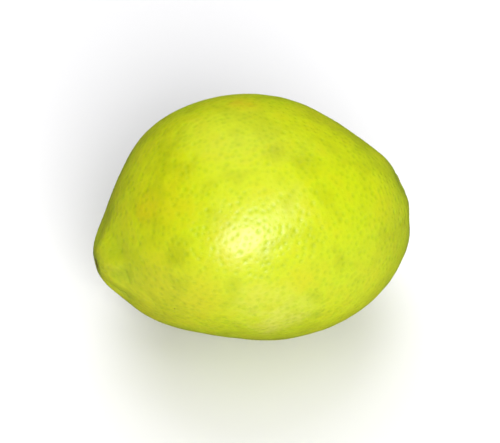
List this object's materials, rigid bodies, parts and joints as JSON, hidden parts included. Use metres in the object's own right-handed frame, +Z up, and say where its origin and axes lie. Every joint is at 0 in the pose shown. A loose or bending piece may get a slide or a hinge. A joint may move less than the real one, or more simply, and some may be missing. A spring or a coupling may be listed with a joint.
{
  "type": "lemon",
  "caption": "Small yellow-green lemon with a blunt nipple at the tip and a bare stalk scar at the stem end, lying on its side.",
  "frame": {"origin": "bottom centre of the fruit's bounding box, on the surface it rests on", "axes": "+X along the fruit's long axis, from the nippled tip to the stem end; +Z up; +Y to the left of someone who looks from the tip to the stem end"},
  "size_m": [0.0466, 0.037, 0.0358],
  "materials": {
    "peel": "waxy yellow-green citrus peel, dimpled all over by fine pores, half glossy"
  },
  "bodies": {
    "root": {"lemon": "peel"}
  },
  "joints": []
}
